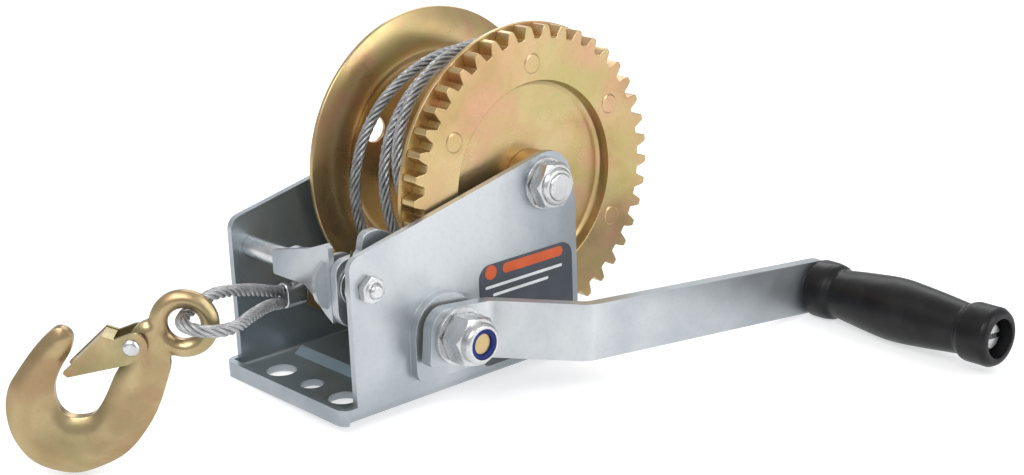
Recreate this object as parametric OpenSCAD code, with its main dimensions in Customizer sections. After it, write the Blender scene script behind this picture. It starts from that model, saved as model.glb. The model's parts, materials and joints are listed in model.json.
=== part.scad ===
// Hand winch for a boat trailer.
// X runs across the frame (+X is the crank side), Y runs back from the hook, Z is up.
// The origin is the middle of the front row of base holes, on the underside.

/* [Frame] */
// Width over the two side plates
frame_w = 85; // [84:0.5:86]
// Thickness of the folded sheet
sheet_t = 3; // [2.8:0.1:3]
// Height of the side plates at their front edge
front_h = 67.5; // [64:0.5:70]
// Slope of the side plates' top edge, in degrees
top_slope = 12.5; // [11:0.5:14]
// Height of the upturned lip at the front of the floor
lip_h = 6.8; // [5:0.2:9]
// Height of the raised pad around the crank shaft
pad_h = 4; // [3.8:0.1:4]
// Distance between the two large base holes
hole_gap = 44; // [40:1:46]
// Diameter of the two large base holes
big_hole_d = 13; // [11:0.5:14]
// Diameter of the two holes on the middle line
mid_hole_d = 10; // [8:0.5:11]
// Distance from the front middle hole to the rear one
mid_hole_gap = 86; // [80:1:92]

/* [Gear train] */
// Tooth size, as the pitch diameter over the tooth count
gear_module = 3; // [2.95:0.05:3]
// Teeth on the drum gear
gear_teeth = 42; // [41:1:42]
// Teeth on the pinion
pinion_teeth = 9; // [9:1:10]
// Pressure angle, in degrees
pressure_angle = 20; // [20:0.5:22]
// Width of the drum gear's rim
gear_w = 8; // [7:0.5:8]
// Radius of the dished face of the gear
dish_r = 42.4; // [38:0.2:44]

/* [Drum] */
// Distance of the drum axis behind the origin
drum_y = 94.6; // [94:0.1:95]
// Height of the drum axis
drum_z = 77.2; // [77:0.1:78]
// Outer radius of the drum's flanges
flange_r = 65.3; // [60:0.1:65.5]
// Outer radius of the drum's barrel
barrel_r = 19; // [16:0.5:24]

/* [Crank] */
// Distance from the crank shaft to the grip's axis
crank_r = 190.8; // [150:0.2:200]
// Width of the crank bar
arm_w = 24; // [20:0.5:26]
// Thickness of the crank bar
arm_t = 5.5; // [5:0.1:6]
// How far the bar is set outwards between its two bends
arm_jog = 27.2; // [20:0.2:30]
// How far the bar points below the level line, in degrees
arm_droop = 6.5; // [0:0.5:12]

/* [Grip] */
// Length of the hand grip
grip_len = 98; // [90:1:110]
// Largest radius of the hand grip
grip_r = 14.2; // [13:0.1:16]

/* [Cable] */
// Diameter of the wire rope
cable_d = 5; // [4.5:0.1:5]

/* [Hook] */
// Radius of the hook's eye
eye_r = 13; // [12.5:0.1:13]
// Radius of the hole through the eye
eye_hole_r = 6.3; // [6.3:0.1:6.6]
// Thickness of the hook's shank
shank_t = 8.8; // [8:0.1:8.8]
// Thickness of the hook's bowl
bowl_t = 12; // [10:0.2:13]

/* [Hidden] */
$fn = 64;
eps = 0.01;

// Frame
half_w = frame_w / 2;
inner_x = half_w - sheet_t;
lip_y = -15;
plate_front_y = -8;
plate_rear_y = 112;
rear_kink_z = 66;
pad_x = half_w + pad_h;
bend_r = 4.5;

// Gear train
gear_rp = gear_module * gear_teeth / 2;
pinion_rp = gear_module * pinion_teeth / 2;
centre_dist = gear_rp + pinion_rp;
addendum = 0.8 * gear_module;
dedendum = 0.9 * gear_module;
tip_round = 0.7;
root_round = 0.8;
// Direction from the drum axis to the crank shaft, from +Y towards +Z
centre_ang = 219.43;
shaft_y = drum_y + centre_dist * cos(centre_ang);
shaft_z = drum_z + centre_dist * sin(centre_ang);
gear_x0 = 29.5;
gear_x1 = gear_x0 + gear_w;
web_t = 2.5;
flange_t = 2;
near_flange_r = flange_r + 0.7;
pinion_x0 = gear_x0 + 0.4;
pinion_x1 = 39;
backlash = 0.3;
rivet_ring_r = 50;
rivet_count = 6;
rivet_r = 3;
rivet_head_r = 4.5;

// Fits
slip = 0.06;
touch = 0.05;

// Axle
axle_r = 6;
sleeve_r = 9;
bush_r = 12;
hex_axle = 18;
axle_nut_end = 52.4;

// Crank shaft
shaft_r = 8;
shaft_thin_r = 6;
neck_r = 7;
neck_flat = 10;
near_bush_r = 10.5;
far_bush_r = 8.5;
arm_x0 = pad_x + 2;
arm_x1 = arm_x0 + arm_t;
washer_t = 2;
hex_crank = 19;
nut_x0 = arm_x1 + washer_t;
ring_seat_r = 7;
ring_face_r = 6.4;
nut_x1 = nut_x0 + 14;
shaft_nose_r = 4.3;
shaft_end_x = nut_x1 - 1.4;
clip_x = -44.4;

// Grip
arm_out_x1 = arm_x1 + arm_jog;
grip_x0 = arm_out_x1 + 1.3;
grip_x1 = grip_x0 + grip_len;
grip_bolt_r = 5;
recess_depth = 9;
recess_r = 8.5;
arm_bend_l = [17, 48.4];
arm_end_l = crank_r + 13;
hub_end_l = -14;

// Pawl
rod_y = 1.1;
rod_z = 54.3;
rod_r = 4.5;
rod_end_r = 3;
hex_rod = 10;
rod_nut_x1 = half_w + 4.4;
blade_x = [30.5, 34.5];
web_y = [-8.7, -6.2];

// Cable
cable_r = cable_d / 2;
quarter = 90;
start_ang = -101.9;
rings_per_quarter = 6;
// Side position and radius of the wound rope at each quarter turn, from the free line
wound = [
    [-23, 51], [-20.5, 50.5], [-9.5, 49.5], [-18.5, 51.2], [-26.3, 55], [-16.5, 56],
    [-3.5, 50.5], [0, 51.5], [5, 53], [7, 52], [1.5, 53.5], [8.5, 51.5], [21.5, 33]
];
pull_route = [
    [0, -0.95, 45.2], [0, 0.6, 45.2], [-1.3, 5, 44.2], [-3.2, 11, 42.8], [-4.9, 17, 41.5],
    [-6.5, 23, 40.3], [-8.1, 29, 39.1], [-9.7, 35, 37.9], [-11.4, 41, 36.6], [-13, 47, 35.3],
    [-14.6, 53, 34], [-16.2, 59, 32.7], [-17.8, 65, 31.4], [-19.4, 71, 30.1], [-21, 77, 28.9],
    [-22.7, 83, 27.6]
];
loop_route = [
    [0, -11.05, 46.9], [0, -12.4, 46.9], [1.6, -15.4, 47.9], [6, -24, 51.6], [10, -32, 54.9],
    [14, -39.5, 57.6], [17.5, -47, 60], [20.4, -54.5, 61.6], [22.6, -61, 61.6],
    [24.6, -67, 60.4], [26.5, -71, 59.9], [28.7, -74, 59.6], [31.3, -76.6, 59.4],
    [34.4, -78, 59], [37.8, -77.4, 58.2], [41, -74.9, 57.3], [42.9, -70.8, 56.5],
    [43.3, -66, 55.8], [41.8, -60.8, 55.1], [38.6, -55.6, 54.5], [34, -50, 53.7],
    [28.6, -43.5, 52.4], [22.4, -36.4, 50.7], [16, -29, 48.6], [9.6, -21.6, 46],
    [3.4, -15, 43], [0, -12.4, 41.8], [0, -11.05, 41.8]
];
ferrule_y = [-11, -1];
ferrule_z = [39, 49.8];
ferrule_r = 3.6;
anchor_ang = start_ang + quarter * (len(wound) - 1);

// Hook, in its own upright plane: u along the plane, v up, w out of the plane
hook_at = [-2.4, -109.7, 0];
hook_turn = 49.1;
eye_u = 47.2;
eye_v = 57;
eye_t = 7.2;
latch_u = 28;
latch_v = 50.3;
latch_pin_r = 2.2;
cheek_w = [5, 6.4];
hook_shape = [
    [35, 58.5], [41, 44.5], [38, 32], [32.3, 19.6], [22.5, 8], [10.5, 1.9], [0, 0.1], [-12.8, 4.7],
    [-20.3, 14.4], [-22.1, 25.1], [-20.3, 34.3], [-16.1, 41], [-8.7, 50.2], [-2, 56.5], [2, 57.7],
    [5, 55.6], [5.7, 52.5], [3.9, 47.3], [0, 41.5], [-3, 34.8], [-3, 28], [0, 23], [5, 21.6],
    [11, 23.1], [16, 30.4], [20.2, 38.7], [24.9, 45.5], [27, 54]
];

// ---------- outlines ----------

function unit(v) = v / norm(v);

// Closed outline with each corner [x, y, r] rounded by its own radius
function round_poly(pts, steps = 6) = [
    for (i = [0:len(pts) - 1])
        let (n = len(pts), p = pts[(i + n - 1) % n], c = pts[i], q = pts[(i + 1) % n])
        each corner([p[0], p[1]], [c[0], c[1]], [q[0], q[1]], c[2], steps)
];

// Points of one rounded corner at c, between the neighbours p and q
function corner(p, c, q, r, steps) =
    let (u = unit(p - c), v = unit(q - c), half = acos(u * v) / 2)
    r < eps || half > 89.9 ? [c] :
    let (
        mid = c + unit(u + v) * r / sin(half),
        a = c + u * r / tan(half) - mid,
        b = c + v * r / tan(half) - mid,
        a0 = atan2(a[1], a[0]),
        turn = atan2(a[0] * b[1] - a[1] * b[0], a * b)
    )
    [for (k = [0:steps]) mid + r * [cos(a0 + turn * k / steps), sin(a0 + turn * k / steps)]];

// Smooth value between b and c, with a and d beyond them
function blend(a, b, c, d, t) =
    0.5 * (2 * b + (c - a) * t + (2 * a - 5 * b + 4 * c - d) * t * t
        + (3 * b - 3 * c + d - a) * t * t * t);

// Smooth closed curve through the points
function smooth_loop(pts, steps) = [
    for (i = [0:len(pts) - 1], k = [0:steps - 1])
        let (n = len(pts))
        blend(pts[(i + n - 1) % n], pts[i], pts[(i + 1) % n], pts[(i + 2) % n], k / steps)
];

// Smooth open curve through the points
function smooth_path(pts, steps) = [
    for (i = [0:len(pts) - 2], k = [0:steps - 1])
        blend(pts[max(i - 1, 0)], pts[i], pts[i + 1], pts[min(i + 2, len(pts) - 1)], k / steps),
    pts[len(pts) - 1]
];

// Outline of a strip of thickness t whose middle line follows the path
function strip(path, t) =
    let (
        n = len(path),
        side = [for (i = [0:n - 1])
            let (d = unit(path[min(i + 1, n - 1)] - path[max(i - 1, 0)])) [-d[1], d[0]]]
    )
    concat(
        [for (i = [0:n - 1]) path[i] + side[i] * t / 2],
        [for (i = [n - 1:-1:0]) path[i] - side[i] * t / 2]
    );

// ---------- gear teeth ----------

function inv_deg(a) = tan(a) * 180 / PI - a;

// Half of a tooth's angle at radius r
function half_tooth(teeth, r) =
    let (
        rp = gear_module * teeth / 2,
        rb = rp * cos(pressure_angle),
        a = r > rb ? acos(rb / r) : 0
    )
    (PI * gear_module / 2 - backlash) / (2 * rp) * 180 / PI + inv_deg(pressure_angle) - inv_deg(a);

function polar_corner(r, a, round) = [r * cos(a), r * sin(a), round];

// Outline of a gear with stub teeth, one of them centred on the angle first
function gear_outline(teeth, first, steps = 3) =
    let (
        rp = gear_module * teeth / 2,
        tip = rp + addendum,
        root = rp - dedendum,
        base = max(root, rp * cos(pressure_angle)),
        flank = [for (k = [0:steps]) base + (tip - base) * k / steps],
        radii = base > root + eps ? concat([root], flank) : flank,
        last = len(radii) - 1,
        rounds = [for (k = [0:last]) k == 0 ? root_round : k == last ? tip_round : 0]
    )
    round_poly([for (i = [0:teeth - 1])
        let (a = first + i * 360 / teeth)
        each concat(
            [for (k = [0:last])
                polar_corner(radii[k], a - half_tooth(teeth, radii[k]), rounds[k])],
            [for (k = [last:-1:0])
                polar_corner(radii[k], a + half_tooth(teeth, radii[k]), rounds[k])]
        )], 3);

// ---------- tubes ----------

// Tube of radius r along the points; ref is a direction the path never takes
module tube(path, r, ref, sides = 8) {
    n = len(path);
    rings = [for (i = [0:n - 1])
        let (
            d = unit(path[min(i + 1, n - 1)] - path[max(i - 1, 0)]),
            a = unit(cross(d, ref)),
            b = cross(d, a)
        )
        for (k = [0:sides - 1]) path[i] + r * (cos(k * 360 / sides) * a + sin(k * 360 / sides) * b)];
    walls = [for (i = [0:n - 2], k = [0:sides - 1])
        let (j = (k + 1) % sides)
        [i * sides + k, (i + 1) * sides + k, (i + 1) * sides + j, i * sides + j]];
    start_cap = [[for (k = [0:sides - 1]) k]];
    end_cap = [[for (k = [sides - 1:-1:0]) (n - 1) * sides + k]];
    polyhedron(points = rings, faces = concat(walls, start_cap, end_cap), convexity = 6);
}

// ---------- placing ----------

// An outline in the Y-Z plane, drawn out along X from x0 to x1
module along_x(x0, x1) {
    translate([x0, 0, 0]) rotate([90, 0, 90]) linear_extrude(x1 - x0) children();
}

// An outline in the X-Z plane, drawn out along Y from y0 to y1
module along_y(y0, y1) {
    translate([0, y1, 0]) rotate([90, 0, 0]) linear_extrude(y1 - y0) children();
}

// A round bar along X
module bar(x0, x1, r, y, z) {
    translate([x0, y, z]) rotate([0, 90, 0]) cylinder(h = x1 - x0, r = r);
}

// A ring along X
module ring(x0, x1, r_in, r_out, y, z) {
    difference() {
        bar(x0, x1, r_out, y, z);
        bar(x0 - 1, x1 + 1, r_in, y, z);
    }
}

// A body turned about the X direction through (y, z), from points [radius, x]
module turned(y, z, pts) {
    translate([0, y, z]) rotate([0, 90, 0]) rotate_extrude($fn = 96) polygon(pts);
}

// A hexagon across the flats, drawn out along X
module hex_bar(x0, x1, flats, y, z, turn = 0) {
    translate([x0, y, z]) rotate([0, 90, 0]) rotate([0, 0, turn])
        cylinder(h = x1 - x0, r = flats / sqrt(3), $fn = 6);
}

// A hexagon along X with the corners of both ends turned off
module nut_body(x0, x1, flats, y, z, turn = 0) {
    corner_r = flats / sqrt(3) + 0.1;
    face_r = flats / 2 - 0.2;
    bevel = (corner_r - face_r) * 0.6;
    intersection() {
        hex_bar(x0, x1, flats, y, z, turn);
        turned(y, z, [
            [0, x0], [face_r, x0], [corner_r, x0 + bevel], [corner_r, x1 - bevel],
            [face_r, x1], [0, x1]
        ]);
    }
}

// Children drawn in the hook's own plane
module in_hook_plane() {
    translate(hook_at) rotate([90, 0, hook_turn]) children();
}

// An outline in the hook's plane, drawn out from w0 to w1
module hook_slab(w0, w1) {
    in_hook_plane() translate([0, 0, w0]) linear_extrude(w1 - w0) children();
}

// A round bar square to the hook's plane
module hook_pin(u, v, w0, w1, r) {
    in_hook_plane() translate([u, v, w0]) cylinder(h = w1 - w0, r = r);
}

// ---------- frame ----------

module side_outline() {
    peak_y = 107.6;
    peak_z = front_h + (peak_y - plate_front_y) * tan(top_slope);
    polygon(round_poly([
        [lip_y, 0, 0], [lip_y, lip_h, 1], [plate_front_y, lip_h, 0], [plate_front_y, front_h, 6],
        [peak_y, peak_z, 13.5], [plate_rear_y, rear_kink_z, 20], [plate_rear_y, 0, 0]
    ]));
}

module channel_section() {
    tall = 120;
    difference() {
        polygon(round_poly([
            [-half_w, tall, 0], [-half_w, 0, bend_r], [half_w, 0, bend_r], [half_w, tall, 0]
        ]));
        polygon(round_poly([
            [-inner_x, tall + 1, 0], [-inner_x, sheet_t, bend_r - sheet_t],
            [inner_x, sheet_t, bend_r - sheet_t], [inner_x, tall + 1, 0]
        ]));
    }
}

module pad_outline(inset) {
    side = 16 - inset;
    polygon(round_poly([
        [shaft_y - side, 9.5 + inset, 5 - inset / 2], [shaft_y + side, 9.5 + inset, 5 - inset / 2],
        [shaft_y + side, shaft_z + side, side - eps], [shaft_y - side, shaft_z + side, side - eps]
    ]));
}

module frame_blank() {
    intersection() {
        union() {
            intersection() {
                along_y(lip_y, plate_rear_y) channel_section();
                along_x(-half_w - 1, half_w + 1) side_outline();
            }
            translate([-half_w, lip_y, 0]) cube([frame_w, sheet_t, lip_h]);
        }
        translate([0, 0, -1]) linear_extrude(130) polygon(round_poly([
            [-half_w, lip_y, 5], [half_w, lip_y, 5],
            [half_w, plate_rear_y + 1, 0], [-half_w, plate_rear_y + 1, 0]
        ]));
    }
}

module winch_frame() {
    color("lightsteelblue") difference() {
        union() {
            frame_blank();
            along_x(-34, 34) polygon([[15, 2.9], [44, 2.9], [40, 6], [19, 6]]);
            along_x(half_w - 1, pad_x) pad_outline(0);
        }
        along_x(-31, 31) polygon([[17, -1], [42, -1], [42, 0], [38.6, 3], [20.4, 3], [17, 0]]);
        along_x(inner_x - eps, pad_x - sheet_t) pad_outline(sheet_t);
        bar(-half_w - 1, half_w + 1, axle_r + 0.1, drum_y, drum_z);
        bar(half_w - 5, pad_x + 1, near_bush_r + touch, shaft_y, shaft_z);
        bar(-half_w - 1, -inner_x + 1, far_bush_r + touch, shaft_y, shaft_z);
        bar(-half_w - 1, half_w + 1, rod_r + touch, rod_y, rod_z);
        for (side = [-1, 1]) translate([side * hole_gap / 2, 0, -1]) cylinder(h = 5, d = big_hole_d);
        for (y = [0, mid_hole_gap]) translate([0, y, -1]) cylinder(h = 5, d = mid_hole_d);
    }
}

module data_label() {
    label_t = 0.3;
    color("darkslategray") along_x(half_w, half_w + label_t)
        polygon(round_poly([[57, 5, 4], [109, 5, 4], [109, 49, 6], [57, 49, 6]]));
}

// ---------- drum axle ----------

module drum_axle_bolt() {
    color("silver") {
        nut_body(-51.5, -half_w - 1.5, hex_axle, drum_y, drum_z, 10);
        turned(drum_y, drum_z, [
            [0, -half_w - 2], [axle_r, -half_w - 2], [axle_r, axle_nut_end + 0.2],
            [axle_r - 0.8, axle_nut_end + 1], [0, axle_nut_end + 1]
        ]);
    }
}

module axle_washers() {
    color("gainsboro") for (x = [-half_w - 1.5, half_w])
        ring(x, x + 1.5, axle_r + 0.1, 11, drum_y, drum_z);
}

module lock_nut(x0, x1, flats, bore_r, y, z, turn) {
    collar = (x1 - x0) * 0.25;
    difference() {
        union() {
            nut_body(x0, x1 - collar, flats, y, z, turn);
            turned(y, z, [
                [0, x0 + 1], [flats / 2 - 1, x0 + 1], [flats / 2 - 1, x1 - 1.4],
                [flats / 2 - 2.2, x1], [0, x1]
            ]);
        }
        bar(x0 - 1, x1 + 1, bore_r, y, z);
    }
}

module drum_axle_nut() {
    color("silver")
        lock_nut(half_w + 1.5, axle_nut_end, hex_axle, axle_r + touch, drum_y, drum_z, 24);
}

module axle_sleeve() {
    color("gray") ring(-inner_x, inner_x, axle_r + 0.1, sleeve_r, drum_y, drum_z);
}

// ---------- drum ----------

module drum_bushings() {
    collar_r = 12.9;
    end_x = inner_x - 0.2;
    bore = sleeve_r + slip;
    color("goldenrod") {
        turned(drum_y, drum_z, [
            [bore, 14], [bush_r - touch, 14], [bush_r - touch, gear_x0 + web_t + 0.1],
            [collar_r, gear_x0 + web_t + 0.1], [collar_r, end_x], [bore, end_x]
        ]);
        turned(drum_y, drum_z, [
            [bore, -14], [bush_r - touch, -14], [bush_r - touch, -36.6],
            [collar_r, -36.6], [collar_r, -end_x], [bore, -end_x]
        ]);
    }
}

module drum_barrel() {
    color("peru") ring(-34.5, gear_x0 - flange_t, bush_r, barrel_r, drum_y, drum_z);
}

// Pressed disc: a flat middle, then a step up to a rounded rim that curls back
module far_flange() {
    lightening_hole_ang = 151;
    back_x = -36.5;
    bead = smooth_path([
        [40, back_x], [42.5, back_x + 0.5], [44.5, back_x + 2.6], [46.3, back_x + 4.5],
        [48.5, back_x + 5.3], [52, back_x + 5.4], [56, back_x + 5], [60.5, back_x + 4.1],
        [flange_r, back_x + 2.6]
    ], 3);
    color("gold") difference() {
        turned(drum_y, drum_z, concat(
            [[bush_r, back_x]], bead,
            [for (i = [len(bead) - 1:-1:0]) bead[i] + [0, flange_t]],
            [[bush_r, back_x + flange_t]]
        ));
        for (a = [lightening_hole_ang, lightening_hole_ang + 180])
            bar(-38, -30, 5.8, drum_y + 33 * cos(a), drum_z + 33 * sin(a));
    }
}

module near_flange() {
    color("gold") difference() {
        bar(gear_x0 - flange_t, gear_x0, near_flange_r, drum_y, drum_z);
        bar(gear_x0 - flange_t - 1, gear_x0 + 1, bush_r, drum_y, drum_z);
        rivet_spots() bar(gear_x0 - flange_t - 1, gear_x0 + 1, rivet_r + touch, 0, 0);
        anchor_spot() bar(gear_x0 - flange_t - 1, gear_x0 + 1, 2.6, 0, 0);
    }
}

module rivet_spots() {
    for (i = [0:rivet_count - 1]) {
        a = -30 + i * 360 / rivet_count;
        translate([0, drum_y + rivet_ring_r * cos(a), drum_z + rivet_ring_r * sin(a)]) children();
    }
}

module drum_gear() {
    color("gold") difference() {
        along_x(gear_x0, gear_x1) translate([drum_y, drum_z])
            polygon(gear_outline(gear_teeth, centre_ang));
        turned(drum_y, drum_z, [
            [0, gear_x0 + web_t], [dish_r - 3, gear_x0 + web_t], [dish_r - 0.9, gear_x0 + web_t + 0.9],
            [dish_r, gear_x0 + web_t + 3], [dish_r, gear_x1 + 1], [0, gear_x1 + 1]
        ]);
        bar(gear_x0 - 1, gear_x1, bush_r, drum_y, drum_z);
        rivet_spots() bar(gear_x0 - 1, gear_x1 + 1, rivet_r + touch, 0, 0);
        anchor_spot() bar(gear_x0 - 1, gear_x1, 4.2, 0, 0);
    }
}

module gear_rivets() {
    head_h = 0.5;
    back_x = gear_x0 - flange_t;
    color("khaki") rivet_spots() {
        turned(0, 0, [
            [0, back_x - head_h], [rivet_head_r - 1, back_x - head_h], [rivet_head_r, back_x],
            [rivet_r, back_x], [rivet_r, gear_x1], [rivet_head_r, gear_x1],
            [rivet_head_r - 1, gear_x1 + head_h], [0, gear_x1 + head_h]
        ]);
    }
}

// The rope's clamp sits where the wound rope ends, on the near flange
module anchor_spot() {
    a = anchor_ang + 8;
    translate([0, drum_y + 33 * cos(a), drum_z + 33 * sin(a)]) rotate([a, 0, 0]) children();
}

module cable_anchor() {
    color("silver") anchor_spot() difference() {
        translate([18.5, -6, -6]) cube([gear_x0 - flange_t - 18.5, 12, 12]);
        bar(17, 29, 2.6, 0, 0);
    }
}

module anchor_screw() {
    color("silver") anchor_spot() {
        turned(0, 0, [
            [0, 15.7], [3.6, 15.7], [4.4, 16.5], [4.4, 18.5], [2.5, 18.5], [2.5, 33],
            [2.1, 33.4], [0, 33.4]
        ]);
        hex_bar(gear_x0, gear_x0 + 2.6, 7, 0, 0);
    }
}

module wound_cable() {
    stations = smooth_path(wound, rings_per_quarter);
    last_ring = len(stations) - 1;
    path = [for (i = [0:last_ring])
        let (a = start_ang + i * quarter / rings_per_quarter, s = stations[i])
        [s[0], drum_y + s[1] * cos(a), drum_z + s[1] * sin(a)]];
    color("lightgray") tube(path, cable_r, [1, 0, 0]);
}

// ---------- crank ----------

module drive_shaft() {
    groove_w = 1.1;
    color("silver") difference() {
        union() {
            turned(shaft_y, shaft_z, [
                [0, -47], [shaft_thin_r - 0.6, -47], [shaft_thin_r, -46.4],
                [shaft_thin_r, clip_x - groove_w], [shaft_thin_r - 1, clip_x - groove_w],
                [shaft_thin_r - 1, clip_x], [shaft_thin_r, clip_x], [shaft_thin_r, 27],
                [shaft_r, 28], [shaft_r, pad_x + 0.7], [near_bush_r, pad_x + 0.7],
                [near_bush_r, arm_x0], [0, arm_x0]
            ]);
            intersection() {
                bar(arm_x0 - 1, arm_x1, neck_r, shaft_y, shaft_z);
                translate([arm_x0 - 1, shaft_y, shaft_z]) rotate([-arm_droop, 0, 0])
                    translate([0, -neck_r, -neck_flat / 2]) cube([arm_t + 2, 2 * neck_r, neck_flat]);
            }
            turned(shaft_y, shaft_z, [
                [0, arm_x1 - 1], [4, arm_x1 - 1], [4, arm_x1], [axle_r, arm_x1],
                [axle_r, nut_x1 - 4.4], [shaft_nose_r, nut_x1 - 2.8],
                [shaft_nose_r, shaft_end_x], [0, shaft_end_x]
            ]);
        }
    }
}

module near_shaft_bushing() {
    bore = shaft_r + slip;
    face_x = pad_x - sheet_t;
    color("goldenrod") turned(shaft_y, shaft_z, [
        [bore, face_x - 2.1], [12.5, face_x - 2.1], [12.5, face_x], [near_bush_r, face_x],
        [near_bush_r, pad_x + 0.5], [bore, pad_x + 0.5]
    ]);
}

module far_shaft_bushing() {
    bore = shaft_thin_r + slip;
    color("goldenrod") turned(shaft_y, shaft_z, [
        [bore, -inner_x + 2], [11, -inner_x + 2], [11, -inner_x], [far_bush_r, -inner_x],
        [far_bush_r, -half_w - 0.7], [bore, -half_w - 0.7]
    ]);
}

module shaft_clip() {
    color("dimgray") difference() {
        ring(clip_x - 1, clip_x - 0.1, shaft_thin_r - 0.95, 9.5, shaft_y, shaft_z);
        translate([clip_x - 2, shaft_y - 3, shaft_z - 12]) cube([3, 6, 12]);
    }
}

module pinion_gear() {
    color("dimgray") difference() {
        along_x(pinion_x0, pinion_x1) translate([shaft_y, shaft_z])
            polygon(gear_outline(pinion_teeth, centre_ang + 180 + 180 / pinion_teeth));
        bar(pinion_x0 - 1, pinion_x1 + 1, shaft_r + touch, shaft_y, shaft_z);
    }
}

// Children drawn along the crank bar: Y runs from the shaft to the grip
module on_arm() {
    translate([0, shaft_y, shaft_z]) rotate([-arm_droop, 0, 0]) children();
}

module crank_arm() {
    in_x = arm_x0 + arm_t / 2;
    out_x = in_x + arm_jog;
    bend = 8;
    path = concat(
        [[in_x, hub_end_l]],
        corner([in_x, 0], [in_x, arm_bend_l[0]], [out_x, arm_bend_l[1]], bend, 5),
        corner([in_x, arm_bend_l[0]], [out_x, arm_bend_l[1]], [out_x, crank_r], bend, 5),
        [[out_x, arm_end_l]]
    );
    color("lightsteelblue") on_arm() difference() {
        intersection() {
            translate([0, 0, -arm_w / 2]) linear_extrude(arm_w) polygon(strip(path, arm_t));
            along_x(arm_x0 - 5, arm_out_x1 + 5) polygon(round_poly([
                [hub_end_l, -arm_w / 2, 2.5], [arm_end_l, -arm_w / 2, arm_w / 2 - eps],
                [arm_end_l, arm_w / 2, arm_w / 2 - eps], [hub_end_l, arm_w / 2, 9]
            ]));
        }
        intersection() {
            bar(arm_x0 - 1, arm_x1 + 1, neck_r + touch, 0, 0);
            translate([arm_x0 - 1, -neck_r - 1, -neck_flat / 2 - touch])
                cube([arm_t + 2, 2 * neck_r + 2, neck_flat + 2 * touch]);
        }
        bar(arm_out_x1 - arm_t - 1, arm_out_x1 + 1, grip_bolt_r + touch, crank_r, 0);
    }
}

module crank_washer() {
    color("silver") ring(arm_x1, nut_x0, axle_r + 0.1, 12, shaft_y, shaft_z);
}

// The nut's rim is rolled in over the nylon ring, which is narrower than the thread
module crank_nut() {
    color("silver") difference() {
        lock_nut(nut_x0, nut_x1, hex_crank, axle_r + touch, shaft_y, shaft_z, 20);
        bar(nut_x1 - 2.8, nut_x1 - 0.6, ring_seat_r, shaft_y, shaft_z);
        bar(nut_x1 - 1, nut_x1 + 1, ring_face_r, shaft_y, shaft_z);
    }
}

module crank_nut_insert() {
    bore = shaft_nose_r + touch;
    color("mediumblue") turned(shaft_y, shaft_z, [
        [bore, nut_x1 - 2.8], [ring_seat_r - touch, nut_x1 - 2.8],
        [ring_seat_r - touch, nut_x1 - 0.65], [ring_face_r - touch, nut_x1 - 0.65],
        [ring_face_r - touch, nut_x1 - 0.2], [bore + 0.4, nut_x1 - 0.2], [bore, nut_x1 - 0.6]
    ]);
}

module grip_bolt() {
    head_x = grip_x1 - recess_depth + 0.3;
    color("silver") on_arm() difference() {
        turned(crank_r, 0, [
            [0, arm_out_x1 - arm_t - 8], [grip_bolt_r, arm_out_x1 - arm_t - 8],
            [grip_bolt_r, head_x], [6.4, head_x], [6.4, head_x + 3], [5.4, head_x + 4.2],
            [0, head_x + 4.2]
        ]);
        translate([head_x + 2.4, crank_r - 8, -1]) cube([3, 16, 2]);
    }
}

module grip_lock_nut() {
    back_x = arm_out_x1 - arm_t;
    color("silver") on_arm()
        lock_nut(back_x - 7, back_x, 16, grip_bolt_r + touch, crank_r, 0, 0);
}

module grip_washer() {
    color("silver") on_arm()
        ring(arm_out_x1, arm_out_x1 + 1, grip_bolt_r + touch, 9, crank_r, 0);
}

module hand_grip() {
    bore = grip_bolt_r + 0.08;
    collar_r = 13.1;
    waist_r = 11;
    end_r = 13;
    swell_x = grip_x0 + 45;
    neck_x = grip_x1 - 17;
    body = smooth_path([
        [waist_r, grip_x0 + 14], [grip_r - 1.2, grip_x0 + 30], [grip_r, swell_x],
        [grip_r - 1, swell_x + 15], [waist_r + 0.4, neck_x - 4], [waist_r, neck_x]
    ], 4);
    color("black") on_arm() turned(crank_r, 0, concat(
        [[bore, grip_x0], [collar_r - 1.5, grip_x0], [collar_r, grip_x0 + 1.5],
        [collar_r, grip_x0 + 8], [collar_r - 0.6, grip_x0 + 11.5], [waist_r + 0.4, grip_x0 + 13]],
        body,
        [[end_r - 0.4, neck_x + 2.5], [end_r, neck_x + 4], [end_r, grip_x1 - 3],
        [end_r - 1.2, grip_x1 - 0.8], [end_r - 3, grip_x1], [recess_r, grip_x1],
        [recess_r, grip_x1 - recess_depth], [bore, grip_x1 - recess_depth]]
    ));
}

// ---------- pawl ----------

// A rod with a riveted head on the far side and a threaded end on the crank side
module pawl_rod() {
    head_r = 5.6;
    color("silver") turned(rod_y, rod_z, [
        [0, -half_w - 1.6], [head_r - 1.4, -half_w - 1.6], [head_r, -half_w - 0.4],
        [head_r, -half_w], [rod_r, -half_w], [rod_r, half_w - 0.2], [rod_end_r, half_w - 0.2],
        [rod_end_r, rod_nut_x1 + 0.9], [rod_end_r - 0.8, rod_nut_x1 + 1.7], [0, rod_nut_x1 + 1.7]
    ]);
}

module pawl_rod_nut() {
    color("silver")
        lock_nut(half_w, rod_nut_x1, hex_rod, rod_end_r + touch, rod_y, rod_z, 5);
}

module pawl_washers() {
    color("silver") {
        ring(blade_x[1] + 0.3, blade_x[1] + 1.3, rod_r + touch, 8.6, rod_y, rod_z);
        ring(inner_x - 1, inner_x, rod_r + touch, 9, rod_y, rod_z);
    }
}

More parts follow.
